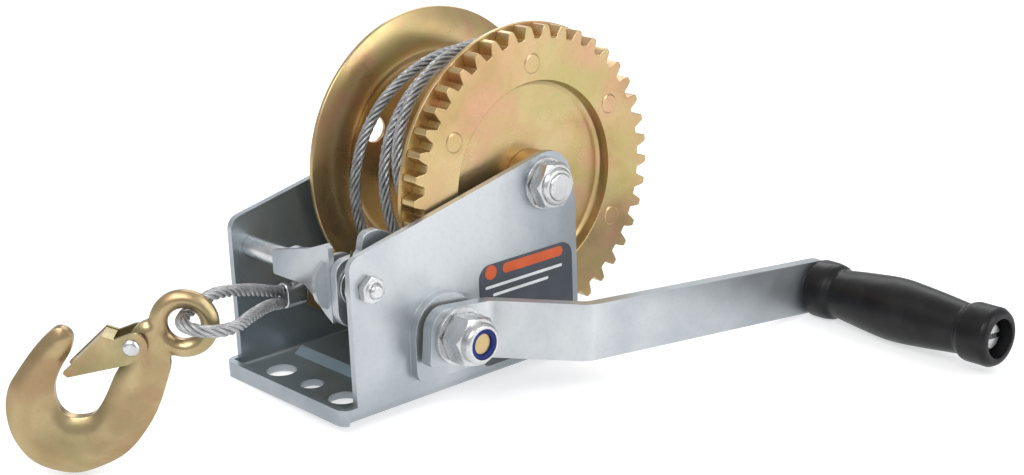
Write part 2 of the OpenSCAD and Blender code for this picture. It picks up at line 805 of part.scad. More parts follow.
// Torsion spring: one turn round the rod between two straight legs
module pawl_spring() {
    wire = 0.55;
    coil_r = 5.8;
    x0 = blade_x[1] + 2;
    pitch = 1.3;
    turn_steps = 18;
    coil = [for (i = [0:turn_steps])
        let (a = 180 + i * 360 / turn_steps)
        [x0 + pitch * i / turn_steps, rod_y + coil_r * cos(a), rod_z + coil_r * sin(a)]];
    path = concat(
        [[x0, rod_y - coil_r + 3, rod_z + 15], [x0, rod_y - coil_r + 1, rod_z + 6]],
        coil,
        [[x0 + pitch, rod_y - coil_r + 1, rod_z - 6], [x0 + pitch, rod_y - coil_r + 4, rod_z - 15]]
    );
    color("gray") tube(path, wire, [1, 0, 0]);
}

module pawl_blade() {
    color("lightsteelblue") difference() {
        along_x(blade_x[0], blade_x[1]) polygon(round_poly([
            [web_y[0], 65.2, 6], [4, 66.2, 2], [6, 74.3, 4], [13, 74.5, 3], [27, 67.6, 1.5],
            [25.4, 63.4, 1.5], [14, 59, 6], [9.5, 42, 6], [18, 33.4, 1], [16.9, 29.9, 1],
            [0, 36, 6], [web_y[0], 40, 8]
        ]));
        bar(blade_x[0] - 1, blade_x[1] + 1, rod_r + slip, rod_y, rod_z);
    }
}

// Folded strap in front of the rod, with a short ear at its end and a round one by the blade
module pawl_web() {
    end_ear_x = [-8.6, -5.4];
    round_ear_x = [25, 27.4];
    color("lightsteelblue") {
        along_y(web_y[0], web_y[1]) polygon(round_poly([
            [-9, 51.4, 1], [13.5, 51.6, 8], [26, 42.2, 3], [blade_x[0], 39.6, 0],
            [blade_x[0], 70.4, 0], [28, 71.8, 1], [16, 67.4, 10], [-9, 61.5, 1]
        ]));
        difference() {
            union() {
                along_x(end_ear_x[0], end_ear_x[1]) polygon(round_poly([
                    [web_y[1] - 1, 52, 0], [0, 48, 4], [8, 48, 5.5], [8, 61, 5.5],
                    [web_y[1] - 1, 60.2, 0]
                ]));
                along_x(round_ear_x[0], round_ear_x[1]) polygon(round_poly([
                    [-13.6, 66, 10], [9, 66, 10], [9, 43.2, 10], [-13.6, 43.2, 10]
                ], 8));
            }
            bar(end_ear_x[0] - 1, round_ear_x[1] + 1, rod_r + slip, rod_y, rod_z);
        }
    }
}

// ---------- cable ----------

module pull_cable() {
    color("lightgray") tube(pull_route, cable_r, [0, 0, 1]);
}

module cable_loop() {
    color("lightgray") tube(loop_route, cable_r, [0, 0, 1]);
}

module cable_ferrule() {
    color("silver") along_y(ferrule_y[0], ferrule_y[1]) polygon(round_poly([
        [-ferrule_r, ferrule_z[0], 3.5], [ferrule_r, ferrule_z[0], 3.5],
        [ferrule_r, ferrule_z[1], 3.5], [-ferrule_r, ferrule_z[1], 3.5]
    ]));
}

// ---------- hook ----------

module hook_forging() {
    thick_top = 19;
    color("gold") difference() {
        union() {
            hook_slab(-shank_t / 2, shank_t / 2) polygon(smooth_loop(hook_shape, 4));
            hook_slab(-bowl_t / 2, bowl_t / 2) intersection() {
                polygon(smooth_loop(hook_shape, 4));
                translate([-30, -1]) square([80, thick_top + 1]);
            }
            hook_pin(eye_u, eye_v, -eye_t / 2, eye_t / 2, eye_r);
        }
        hook_pin(eye_u, eye_v, -10, 10, eye_hole_r);
        hook_pin(latch_u, latch_v, -10, 10, latch_pin_r + touch);
    }
}

module latch_rivet() {
    head_r = 3.6;
    end_w = 8;
    color("silver") in_hook_plane() translate([latch_u, latch_v, 0]) rotate_extrude($fn = 48)
        polygon([
            [0, -end_w], [head_r - 1.4, -end_w], [head_r, -6.6], [latch_pin_r, -6.6],
            [latch_pin_r, 6.6], [head_r, 6.6], [head_r - 1.4, end_w], [0, end_w]
        ]);
}

module latch_outline() {
    polygon(round_poly([
        [1.6, 41.4, 0.8], [3.4, 39.6, 0.8], [26, 43.6, 5], [34.5, 47.5, 4.8], [33, 57.5, 4.8],
        [22, 53.7, 1], [17.4, 55.5, 1]
    ]));
}

module hook_latch() {
    color("gold") {
        for (w = [cheek_w[0], -cheek_w[1]]) difference() {
            hook_slab(w, w + cheek_w[1] - cheek_w[0]) latch_outline();
            hook_pin(latch_u, latch_v, -10, 10, latch_pin_r + 0.08);
        }
        hook_slab(-cheek_w[0] - eps, cheek_w[0] + eps) polygon([
            [4.8, 43.8], [5.7, 42.8], [17.75, 53.6], [21, 52.35], [21.45, 53.55], [17.45, 55.1]
        ]);
    }
}

// Thin torsion spring between the hook's shank and one cheek of the latch
module latch_spring() {
    wire = 0.25;
    coil_r = 3.1;
    w = (shank_t / 2 + cheek_w[0]) / 2;
    coil = [for (a = [-30:15:210]) [coil_r * cos(a), coil_r * sin(a), w]];
    path = concat(coil, [[-3.4, -4, w], [-4.9, -6.9, w]]);
    color("gray") in_hook_plane() translate([latch_u, latch_v, 0]) tube(path, wire, [0, 0, 1]);
}

winch_frame();
data_label();
drum_axle_bolt();
axle_washers();
drum_axle_nut();
axle_sleeve();
near_shaft_bushing();
far_shaft_bushing();
pawl_rod();
pawl_rod_nut();
pawl_washers();
pawl_spring();
pull_cable();
cable_ferrule();
cable_loop();
drum_barrel();
far_flange();
near_flange();
drum_gear();
gear_rivets();
drum_bushings();
cable_anchor();
anchor_screw();
wound_cable();
drive_shaft();
pinion_gear();
shaft_clip();
crank_arm();
crank_washer();
crank_nut();
crank_nut_insert();
grip_bolt();
grip_lock_nut();
grip_washer();
hand_grip();
pawl_blade();
pawl_web();
hook_forging();
latch_rivet();
hook_latch();
latch_spring();
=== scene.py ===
"""Looks of a hand winch for a boat trailer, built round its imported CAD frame.

Every length is in metres, in the frame of the CAD: +X is the crank side, +Y runs back from the hook and
+Z is up. Values in mm are multiplied by MM.
"""

import json
import math

import bmesh
import bpy
import numpy as np
from mathutils import Matrix, Quaternion, Vector

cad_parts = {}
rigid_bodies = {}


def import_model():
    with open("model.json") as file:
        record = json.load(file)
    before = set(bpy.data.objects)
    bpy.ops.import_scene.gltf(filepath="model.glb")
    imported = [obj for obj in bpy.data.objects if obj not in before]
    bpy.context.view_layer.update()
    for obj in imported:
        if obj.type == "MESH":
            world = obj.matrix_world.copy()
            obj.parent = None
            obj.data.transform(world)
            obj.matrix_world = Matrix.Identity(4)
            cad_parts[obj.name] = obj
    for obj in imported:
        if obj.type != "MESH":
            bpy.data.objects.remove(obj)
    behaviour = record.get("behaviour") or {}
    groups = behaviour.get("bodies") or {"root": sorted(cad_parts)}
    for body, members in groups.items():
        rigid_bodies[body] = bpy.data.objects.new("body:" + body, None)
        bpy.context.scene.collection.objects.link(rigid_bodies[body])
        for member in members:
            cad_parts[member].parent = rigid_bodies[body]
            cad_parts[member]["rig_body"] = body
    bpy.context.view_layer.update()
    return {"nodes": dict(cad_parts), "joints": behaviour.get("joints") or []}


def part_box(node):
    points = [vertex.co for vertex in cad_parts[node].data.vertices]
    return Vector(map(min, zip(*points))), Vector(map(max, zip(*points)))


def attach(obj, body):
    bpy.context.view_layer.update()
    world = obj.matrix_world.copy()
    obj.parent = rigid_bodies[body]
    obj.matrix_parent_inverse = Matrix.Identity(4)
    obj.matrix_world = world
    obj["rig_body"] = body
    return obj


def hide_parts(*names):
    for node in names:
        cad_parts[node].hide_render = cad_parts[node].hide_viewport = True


MM = 0.001

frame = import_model()
joints = {j["name"]: j for j in frame["joints"]}


# ---------- camera ----------


def make_camera():
    place = Vector((0.6008, -0.4079, 0.2920))
    aim = Vector((0.00042, 0.1122, 0.0400))
    roll = math.radians(-2.16)
    data = bpy.data.cameras.new("camera")
    data.lens = 65.75
    data.sensor_width = 36
    data.sensor_fit = "HORIZONTAL"
    camera = bpy.data.objects.new("camera", data)
    camera.location = place
    camera.rotation_mode = "QUATERNION"
    camera.rotation_quaternion = (aim - place).to_track_quat("-Z", "Y") @ Quaternion((0, 0, 1), roll)
    bpy.context.scene.collection.objects.link(camera)
    bpy.context.scene.camera = camera


# ---------- material tools ----------


class Look:
    """A Principled material and the few node steps that the finishes share."""

    def __init__(self, name, colour, metallic, roughness):
        self.material = bpy.data.materials.new(name)
        self.material.use_nodes = True
        self.tree = self.material.node_tree
        self.shader = self.tree.nodes["Principled BSDF"]
        self.shader.inputs["Base Color"].default_value = (*colour, 1)
        self.shader.inputs["Metallic"].default_value = metallic
        self.shader.inputs["Roughness"].default_value = roughness
        self.place = self.node("ShaderNodeTexCoord").outputs["Object"]

    def node(self, kind, **values):
        made = self.tree.nodes.new(kind)
        for key, value in values.items():
            setattr(made, key, value)
        return made

    def link(self, source, node, name):
        if isinstance(source, bpy.types.NodeSocket):
            self.tree.links.new(source, node.inputs[name])
        else:
            node.inputs[name].default_value = source

    def stretched(self, scale):
        """The object coordinates, scaled differently along each axis."""
        made = self.node("ShaderNodeMapping")
        self.link(self.place, made, "Vector")
        made.inputs["Scale"].default_value = scale
        return made.outputs["Vector"]

    def noise(self, size, detail=3.0, distortion=0.0, place=None):
        """Noise from 0 to 1 whose features are about size metres across."""
        made = self.node("ShaderNodeTexNoise")
        self.link(place or self.place, made, "Vector")
        self.link(1 / size, made, "Scale")
        self.link(detail, made, "Detail")
        self.link(distortion, made, "Distortion")
        return made.outputs["Fac"]

    def spots(self, size):
        made = self.node("ShaderNodeTexVoronoi")
        self.link(self.place, made, "Vector")
        self.link(1 / size, made, "Scale")
        return made.outputs["Distance"]

    def ramp(self, factor, stops):
        """Colours or grey levels along factor; stops are (place, colour) pairs."""
        made = self.node("ShaderNodeValToRGB")
        self.link(factor, made, "Fac")
        for i, (at, colour) in enumerate(stops):
            stop = made.color_ramp.elements[i] if i < 2 else made.color_ramp.elements.new(at)
            stop.position = at
            stop.color = (*colour, 1) if isinstance(colour, tuple) else (colour, colour, colour, 1)
        return made.outputs["Color"]

    def math(self, operation, a, b=0.0):
        made = self.node("ShaderNodeMath", operation=operation)
        for i, value in enumerate((a, b)):
            if isinstance(value, bpy.types.NodeSocket):
                self.tree.links.new(value, made.inputs[i])
            else:
                made.inputs[i].default_value = value
        return made.outputs[0]

    def mix(self, factor, a, b, blend_type="MIX"):
        made = self.node("ShaderNodeMix", data_type="RGBA", blend_type=blend_type)
        self.link(factor, made, "Factor")
        for name, value in (("A", a), ("B", b)):
            socket = next(s for s in made.inputs if s.name == name and s.type == "RGBA")
            if isinstance(value, bpy.types.NodeSocket):
                self.tree.links.new(value, socket)
            else:
                socket.default_value = (*value, 1)
        return next(s for s in made.outputs if s.type == "RGBA")

    def bump(self, height, depth, strength=1.0):
        """Adds relief; depth is in metres."""
        made = self.node("ShaderNodeBump")
        self.link(height, made, "Height")
        self.link(strength, made, "Strength")
        self.link(depth, made, "Distance")
        before = self.shader.inputs["Normal"]
        if before.is_linked:
            self.tree.links.new(before.links[0].from_socket, made.inputs["Normal"])
        self.tree.links.new(made.outputs["Normal"], before)

    def colour(self, socket):
        self.tree.links.new(socket, self.shader.inputs["Base Color"])

    def roughness(self, socket):
        self.tree.links.new(socket, self.shader.inputs["Roughness"])


def zinc_look(name, pale, mid, dark, painted_light_centre):
    """Bright zinc plating: bluish silver, softly clouded, with a painted pool of light: paler round one given
    point and darker away from it.
    """
    look = Look(name, mid, 0.82, 0.36)
    lines = look.noise(0.003, 4, 0.2, look.stretched((1, 0.1, 1)))
    # Painted light: a pool of light painted into the colour, paler near the given point and darker away from
    # it.
    away = look.node("ShaderNodeVectorMath", operation="DISTANCE")
    look.tree.links.new(look.place, away.inputs[0])
    away.inputs[1].default_value = painted_light_centre
    painted_light_fall = look.ramp(look.math("MULTIPLY", away.outputs["Value"], 10.0), [(0.15, 0.78), (0.75, 0.38)])
    cloud = look.math("SUBTRACT", look.noise(0.05, 3, 0.5), 0.5)
    tint = look.ramp(look.math("ADD", painted_light_fall, cloud), [(0.25, dark), (0.5, mid), (0.75, pale)])
    speck = look.ramp(look.noise(0.0018, 4), [(0.32, (0.90, 0.90, 0.91)), (0.5, (1.0, 1.0, 1.0))])
    look.colour(look.mix(0.5, tint, speck, "MULTIPLY"))
    look.roughness(look.ramp(look.noise(0.03, 4, 0.6), [(0.3, 0.30), (0.7, 0.42)]))
    look.bump(lines, 0.000012, 0.5)
    look.bump(look.noise(0.0012, 2), 0.000008, 0.5)
    return look.material


def gold_look(name, dark, body, pale, pink, green, low, high):
    """Yellow chromate over zinc: gold that drifts to pink and green."""
    look = Look(name, body, 0.88, (low + high) / 2)
    drift = look.noise(0.05, 3, 1.0)
    base = look.ramp(drift, [(0.30, dark), (0.45, body), (0.62, pale), (0.80, body)])
    rose = look.ramp(look.noise(0.034, 3, 1.5), [(0.46, 0.0), (0.66, 1.0)])
    olive = look.ramp(look.noise(0.040, 3, 1.0, look.stretched((1.3, 0.8, 1.1))), [(0.50, 0.0), (0.68, 1.0)])
    tinted = look.mix(look.math("MULTIPLY", rose, 0.75), base, pink)
    tinted = look.mix(look.math("MULTIPLY", olive, 0.6), tinted, green)
    speck = look.ramp(look.noise(0.0016, 4), [(0.30, (0.88, 0.86, 0.82)), (0.48, (1.0, 1.0, 1.0))])
    look.colour(look.mix(0.4, tinted, speck, "MULTIPLY"))
    look.roughness(look.ramp(look.noise(0.018, 5, 0.6), [(0.3, low), (0.7, high)]))
    look.bump(look.noise(0.0012, 3), 0.000012, 0.5)
    return look.material


def steel_look(name, colour, low, high):
    """Plain turned or rolled steel with fine marks."""
    look = Look(name, colour, 0.95, (low + high) / 2)
    shade = tuple(c * 0.85 for c in colour)
    look.colour(look.ramp(look.noise(0.009, 3, 0.5), [(0.32, shade), (0.62, colour)]))
    look.roughness(look.ramp(look.noise(0.006, 3), [(0.3, low), (0.7, high)]))
    look.bump(look.noise(0.0012, 2), 0.000008, 0.4)
    return look.material


def rope_look():
    """Galvanised wires: u runs round the strands and v along the rope."""
    look = Look("wire_rope", (0.5, 0.5, 0.5), 0.8, 0.36)
    uv = look.node("ShaderNodeUVMap", uv_map="strands").outputs["UV"]
    split = look.node("ShaderNodeSeparateXYZ")
    look.link(uv, split, "Vector")
    lean = look.math("MULTIPLY", split.outputs["Y"], 320.0)
    phase = look.math("ADD", look.math("MULTIPLY", split.outputs["X"], 5.0), lean)
    wire = look.math("ABSOLUTE", look.math("SINE", look.math("MULTIPLY", phase, math.pi)))
    look.bump(wire, 0.00014, 0.8)
    grime = look.ramp(look.noise(0.006, 4), [(0.35, (0.42, 0.425, 0.43)), (0.62, (0.62, 0.625, 0.63))])
    # Painted shade: the grooves between the wires are painted dark.
    look.colour(look.mix(look.math("SUBTRACT", 1.0, wire), grime, (0.16, 0.16, 0.165)))
    look.roughness(look.ramp(look.noise(0.004, 3), [(0.3, 0.30), (0.7, 0.45)]))
    return look.material


def plastic_look(name, colour, low, high, depth):
    """Moulded plastic: fine leathery relief and a soft sheen."""
    look = Look(name, colour, 0.0, (low + high) / 2)
    worn = tuple(min(1, c * 1.7 + 0.004) for c in colour)
    look.colour(look.ramp(look.noise(0.012, 4, 0.4), [(0.4, colour), (0.8, worn)]))
    look.roughness(look.ramp(look.noise(0.009, 4, 0.4), [(0.3, low), (0.7, high)]))
    look.bump(look.spots(0.0011), depth, 0.4)
    look.bump(look.noise(0.0006, 2), depth, 0.35)
    look.shader.inputs["Specular IOR Level"].default_value = 0.22
    return look.material


def film_look(name, colour):
    """Printed film."""
    look = Look(name, colour, 0.0, 0.38)
    shade = tuple(c * 0.82 for c in colour)
    look.colour(look.ramp(look.noise(0.01, 3), [(0.35, shade), (0.65, colour)]))
    look.bump(look.noise(0.0012, 2), 0.00002, 0.4)
    look.shader.inputs["Coat Weight"].default_value = 0.3
    look.shader.inputs["Coat Roughness"].default_value = 0.2
    return look.material


LOOKS = {
    # The last value of each zinc look is the centre of its painted pool of light.
    "zinc_plate": zinc_look(
        "zinc_plate", (0.53, 0.555, 0.575), (0.40, 0.43, 0.455), (0.27, 0.305, 0.33), (0.0425, 0.03, 0.062)
    ),
    "zinc_arm": zinc_look(
        "zinc_arm", (0.56, 0.585, 0.60), (0.43, 0.46, 0.485), (0.34, 0.37, 0.39), (0.06, 0.07, 0.03)
    ),
    # A darker copy of the zinc for the sheltered inner faces of the frame: painted shade.
    "zinc_inside_painted_shade": zinc_look(
        "zinc_inside_painted_shade", (0.40, 0.46, 0.50), (0.32, 0.39, 0.43), (0.24, 0.30, 0.335), (-0.0395, -0.008, 0.03)
    ),
    "gold_zinc": gold_look(
        "gold_zinc", (0.36, 0.24, 0.10), (0.49, 0.355, 0.165), (0.56, 0.43, 0.23), (0.56, 0.32, 0.20),
        (0.41, 0.38, 0.14), 0.24, 0.36,
    ),
    "hook_gold": gold_look(
        "hook_gold", (0.20, 0.135, 0.06), (0.33, 0.24, 0.12), (0.46, 0.36, 0.20), (0.34, 0.22, 0.12),
        (0.25, 0.24, 0.11), 0.24, 0.38,
    ),
    "bright_steel": steel_look("bright_steel", (0.60, 0.605, 0.61), 0.22, 0.34),
    "dark_steel": steel_look("dark_steel", (0.16, 0.155, 0.15), 0.35, 0.55),
    "wire_rope": rope_look(),
    "bronze": steel_look("bronze", (0.55, 0.38, 0.20), 0.3, 0.5),
    "black_plastic": plastic_look("black_plastic", (0.006, 0.006, 0.0068), 0.30, 0.42, 0.00003),
    "blue_nylon": plastic_look("blue_nylon", (0.004, 0.014, 0.11), 0.3, 0.5, 0.00002),
    "label_film": film_look("label_film", (0.045, 0.055, 0.07)),
    "print_orange": film_look("print_orange", (0.60, 0.09, 0.012)),
    "print_white": film_look("print_white", (0.75, 0.76, 0.77)),
}


# ---------- mesh tools ----------


def body_of_node(node):
    return frame["nodes"][node]["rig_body"]


def new_piece(name, mesh, body, look, replaced=(), smooth_angle=38, weighted=True):
    """Puts a mesh into the scene, on a body, in place of CAD nodes."""
    piece = bpy.data.objects.new(name, mesh)
    bpy.context.scene.collection.objects.link(piece)
    mesh.materials.clear()
    mesh.materials.append(LOOKS[look])
    mesh.polygons.foreach_set("use_smooth", [True] * len(mesh.polygons))
    mesh.set_sharp_from_angle(angle=math.radians(smooth_angle))
    if weighted:
        normals = piece.modifiers.new("even_normals", "WEIGHTED_NORMAL")
        normals.keep_sharp = True
    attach(piece, body)
    if replaced:
        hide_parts(*replaced)
    return piece


def clean_copy(node):
    """The node's mesh as a bmesh with shared corners and undivided flat faces."""
    bm = bmesh.new()
    bm.from_mesh(frame["nodes"][node].data)
    bmesh.ops.remove_doubles(bm, verts=bm.verts, dist=0.002 * MM)
    bmesh.ops.dissolve_limit(
        bm, angle_limit=math.radians(0.4), verts=bm.verts, edges=bm.edges, use_dissolve_boundaries=False
    )
    return bm


def round_edges(bm, width, segments=2, sharp=30, where=None):
    """Rounds the edges whose faces meet at more than sharp degrees; where picks by an edge's middle."""
    picked = [
        e
        for e in bm.edges
        if len(e.link_faces) == 2
        and e.calc_face_angle(0) > math.radians(sharp)
        and (where is None or where((e.verts[0].co + e.verts[1].co) / 2))
    ]
    bmesh.ops.bevel(
        bm, geom=picked, offset=width, offset_type="OFFSET", segments=segments, profile=0.5,
        affect="EDGES", clamp_overlap=True,
    )


def finished(node, look, width=0.3 * MM, segments=2, sharp=30, passes=()):
    """A CAD node's own shape with rounded edges.

    passes are local roundings made before the rest, as (width, segments, where).
    """
    bm = clean_copy(node)
    for local_width, local_segments, where in passes:
        round_edges(bm, local_width, local_segments, sharp, where)
    if width:
        round_edges(bm, width, segments, sharp)
    mesh = bpy.data.meshes.new(node + "_finished")
    bm.to_mesh(mesh)
    bm.free()
    return new_piece(node + "_finished", mesh, body_of_node(node), look, [node])


def applied(piece):
    """The piece's mesh with its modifiers applied."""
    evaluated = piece.evaluated_get(bpy.context.evaluated_depsgraph_get())
    return bpy.data.meshes.new_from_object(evaluated)


# ---------- rope ----------

ROPE_D = 5 * MM
STRANDS = 6
LAY_LENGTH = 23 * MM

# The rope's routes, in mm, as the CAD has them
PULL_ROUTE = [
    [0, -0.95, 45.2], [0, 0.6, 45.2], [-1.3, 5, 44.2], [-3.2, 11, 42.8], [-4.9, 17, 41.5],
    [-6.5, 23, 40.3], [-8.1, 29, 39.1], [-9.7, 35, 37.9], [-11.4, 41, 36.6], [-13, 47, 35.3],
    [-14.6, 53, 34], [-16.2, 59, 32.7], [-17.8, 65, 31.4], [-19.4, 71, 30.1], [-21, 77, 28.9],
    [-22.7, 83, 27.6],
]
LOOP_ROUTE = [
    [0, -11.05, 46.9], [0, -12.4, 46.9], [1.6, -15.4, 47.9], [6, -24, 51.6], [10, -32, 54.9],
    [14, -39.5, 57.6], [17.5, -47, 60], [20.4, -54.5, 61.6], [22.6, -61, 61.6],
    [24.6, -67, 60.4], [26.5, -71, 59.9], [28.7, -74, 59.6], [31.3, -76.6, 59.4],
    [34.4, -78, 59], [37.8, -77.4, 58.2], [41, -74.9, 57.3], [42.9, -70.8, 56.5],
    [43.3, -66, 55.8], [41.8, -60.8, 55.1], [38.6, -55.6, 54.5], [34, -50, 53.7],
    [28.6, -43.5, 52.4], [22.4, -36.4, 50.7], [16, -29, 48.6], [9.6, -21.6, 46],
    [3.4, -15, 43], [0, -12.4, 41.8], [0, -11.05, 41.8],
]
# Side position and radius of the wound rope at each quarter turn
WOUND = [
    [-23, 51], [-20.5, 50.5], [-9.5, 49.5], [-18.5, 51.2], [-26.3, 55], [-16.5, 56],
    [-3.5, 50.5], [0, 51.5], [5, 53], [7, 52], [1.5, 53.5], [8.5, 51.5], [21.5, 33],
]
WOUND_START = math.radians(-101.9)
WOUND_STEPS = 44
STRAND_REACH = math.radians(112)


def smooth_line(points, steps):
    """Catmull-Rom curve through the points, with steps intervals between two of them."""
    p = np.array(points, float)
    p = np.vstack([p[:1], p, p[-1:]])
    t = (np.arange(steps) / steps)[:, None]
    parts = []
    for a, b, c, d in zip(p, p[1:], p[2:], p[3:]):
        parts.append(
            0.5 * (2 * b + (c - a) * t + (2 * a - 5 * b + 4 * c - d) * t**2 + (3 * b - 3 * c + d - a) * t**3)
        )
    return np.vstack([*parts, p[-1:]])


def strand_outline(samples=7):
    """The section of a rope of radius 1: points on each strand's outer side, as (radius, angle, place)."""
    made = []
    for strand in range(STRANDS):
        middle = 2 * math.pi * strand / STRANDS
        for k in range(samples):
            turn = -STRAND_REACH + 2 * STRAND_REACH * k / (samples - 1)
            x = 2 / 3 + math.cos(turn) / 3
            y = math.sin(turn) / 3
            made.append((math.hypot(x, y), middle + math.atan2(y, x), strand + k / (samples - 1)))
    return made


def rope(name, path, body, node):
    """A laid wire rope along a dense path in metres: the section turns once in each lay length."""
    path = np.array(path)
    tangents = np.gradient(path, axis=0)
    tangents /= np.linalg.norm(tangents, axis=1)[:, None]
    side = np.cross(tangents[0], (0.31, 0.2, 0.93))
    outline = strand_outline()
    count = len(outline)
    verts, faces, uvs = [], [], []
    run = 0.0
    runs = []
    for i, point in enumerate(path):
        if i:
            run += float(np.linalg.norm(path[i] - path[i - 1]))
        side = side - tangents[i] * (side @ tangents[i])
        side /= np.linalg.norm(side)
        up = np.cross(tangents[i], side)
        twist = 2 * math.pi * run / LAY_LENGTH
        runs.append(run)
        for radius, angle, _ in outline:
            a = angle + twist
            verts.append(point + ROPE_D / 2 * radius * (math.cos(a) * side + math.sin(a) * up))
    for i in range(len(path) - 1):
        for k in range(count):
            j = (k + 1) % count
            faces.append((i * count + k, i * count + j, (i + 1) * count + j, (i + 1) * count + k))
            u0, u1 = outline[k][2], outline[j][2]
            if j == 0:
                u1 = u0
            uvs += [(u0, runs[i]), (u1, runs[i]), (u1, runs[i + 1]), (u0, runs[i + 1])]
    first = tuple(range(count - 1, -1, -1))
    last = tuple(range((len(path) - 1) * count, len(path) * count))
    faces += [first, last]
    uvs += [(0.0, 0.0)] * (2 * count)
    mesh = bpy.data.meshes.new(name)
    mesh.from_pydata([tuple(v) for v in verts], [], faces)
    layer = mesh.uv_layers.new(name="strands")
    layer.data.foreach_set("uv", np.array(uvs, np.float32).ravel())
    return new_piece(name, mesh, body, "wire_rope", [node], smooth_angle=60, weighted=False)


def make_ropes():
    pull = smooth_line(PULL_ROUTE, 5) * MM
    loop = smooth_line(LOOP_ROUTE, 6) * MM
    stations = smooth_line(WOUND, WOUND_STEPS)
    axis = joints["drum_spin"]["pos_m"]
    angles = WOUND_START + np.arange(len(stations)) / WOUND_STEPS * math.pi / 2
    wound = np.stack(
        [
            stations[:, 0] * MM,
            axis[1] + stations[:, 1] * MM * np.cos(angles),
            axis[2] + stations[:, 1] * MM * np.sin(angles),
        ],
        axis=1,
    )
    pieces = {
        "pull": rope("pull_rope", pull, "frame", "pull_cable"),
        "loop": rope("loop_rope", loop, "frame", "cable_loop"),
        "wound": rope("wound_rope", wound, "drum", "wound_cable"),
    }
    return pieces, pull, loop


# ---------- hook ----------

HOOK_ORIGIN = Vector((-2.4 * MM, -109.7 * MM, 0))
HOOK_VOXEL = 0.6 * MM
EYE_AT = (47.2, 57)
PIVOT_CLEAR = 3.5 * MM
# Half thicknesses of the forging, in mm, before it is crowned
HALF_EYE = 3.6
HALF_SHANK = 4.35
HALF_BOWL_MORE = 1.65
CROWN = 2.4


def hook_axes():
    """The hook's plane: an origin, and its directions along the plane, up and out of it."""
    out = Vector(joints["hook_swing"]["axis"]).normalized()
    up = Vector((0, 0, 1))
    along = up.cross(out)
    return HOOK_ORIGIN, along, up, out


def hook_point(u, v):
    """A point of the hook's middle plane, from its place along the plane and its height in mm."""
    origin, along, up, _ = hook_axes()
    return origin + along * u * MM + up * v * MM


def ease(t):
    t = np.clip(t, 0, 1)
    return t * t * (3 - 2 * t)


def outline_of(bm, origin, out):
    """The segments in which the middle plane through origin cuts the mesh."""
    cut = bmesh.ops.bisect_plane(
        bm, geom=bm.verts[:] + bm.edges[:] + bm.faces[:], plane_co=origin, plane_no=out, dist=1e-7
    )
    edges = [e for e in cut["geom_cut"] if isinstance(e, bmesh.types.BMEdge)]
    return np.array([[v.co[:] for v in e.verts] for e in edges])


def distance_to(points, segments):
    """Each point's distance from the nearest segment."""
    nearest = np.full(len(points), np.inf)
    for a, b in segments:
        step = b - a
        t = np.clip((points - a) @ step / max(step @ step, 1e-18), 0, 1)
        nearest = np.minimum(nearest, np.linalg.norm(points - a - np.outer(t, step), axis=1))
    return nearest


def make_hook():
    """Forged hook: the CAD body crowned towards its middle line, with its edges worn round."""
    body = body_of_node("hook_forging")
    origin, _, _, out = hook_axes()
    bm = clean_copy("hook_forging")
    bmesh.ops.triangulate(bm, faces=bm.faces)
    mesh = bpy.data.meshes.new("hook_rough")
    bm.to_mesh(mesh)
    outline = outline_of(bm, origin, out)
    bm.free()
    pivot = np.array(joints["latch_swing"]["pos_m"])
    outline = outline[np.linalg.norm(outline.mean(axis=1) - pivot, axis=1) > PIVOT_CLEAR]
    rough = bpy.data.objects.new("hook_rough", mesh)
    bpy.context.scene.collection.objects.link(rough)
    voxels = rough.modifiers.new("voxels", "REMESH")
    voxels.mode = "VOXEL"
    voxels.voxel_size = HOOK_VOXEL
    voxels.adaptivity = 0
    voxels.use_smooth_shade = True
    first = applied(rough)
    co = np.zeros(len(first.vertices) * 3, np.float64)
    first.vertices.foreach_get("co", co)
    co = co.reshape(-1, 3)
    out = np.array(out)
    w = (co - np.array(origin)) @ out
    flat = co - np.outer(w, out)
    depth = distance_to(flat, outline)
    eye = np.array(hook_point(*EYE_AT))
    from_eye = np.linalg.norm(flat - eye, axis=1)
    past_eye = ease((from_eye / MM - 12) / 9)
    body_half = HALF_SHANK + HALF_BOWL_MORE * ease((19.4 - co[:, 2] / MM) / 15)
    half = HALF_EYE + (body_half - HALF_EYE) * past_eye
    reach = 3.4 + 3.1 * past_eye
    crown = CROWN * (1 - np.clip(depth / MM / reach, 0, 1)) ** 2
    limited = np.sign(w) * np.minimum(np.abs(w), (half - crown) * MM)
    co += np.outer(limited - w, out)
    first.vertices.foreach_set("co", co.ravel())
    rough.modifiers.clear()
    rough.data = first
    soften = rough.modifiers.new("worn", "SMOOTH")
    soften.factor = 0.5
    soften.iterations = 16
    forged = applied(rough)
    bpy.data.objects.remove(rough)
    forged.name = "hook_body"
    return new_piece(
        "hook_body", forged, body, "hook_gold", ["hook_forging"], smooth_angle=80, weighted=False
    )


# ---------- floor and light ----------


def make_floor():
    """A pale floor under the lowest edge of the base and the lowest point of the grip."""
    base_low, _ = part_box("winch_frame")
    grip_low, grip_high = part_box("hand_grip")
    run = (grip_low.x + grip_high.x) / 2 - base_low.x
    slope = math.atan2(grip_low.z, run)
    bpy.ops.mesh.primitive_grid_add(x_subdivisions=8, y_subdivisions=8, size=9)
    floor = bpy.context.object
    floor.name = "floor"
    floor.location = (base_low.x, 0.1, base_low.z - 0.05 * MM)
    floor.rotation_euler = (0, -slope, 0)
    look = Look("floor", (0.5, 0.5, 0.5), 0.0, 0.6)
    look.shader.inputs["Emission Color"].default_value = (0.985, 0.99, 1.0, 1)
    look.shader.inputs["Emission Strength"].default_value = 0.62
    floor.data.materials.append(look.material)


def area_light(name, place, aim, size, energy):
    data = bpy.data.lights.new(name, "AREA")
    data.shape = "RECTANGLE"
    data.size, data.size_y = size
    data.energy = energy
    light = bpy.data.objects.new(name, data)
    light.location = place
    light.rotation_mode = "QUATERNION"
    light.rotation_quaternion = (Vector(aim) - Vector(place)).to_track_quat("-Z", "Y")
    bpy.context.scene.collection.objects.link(light)


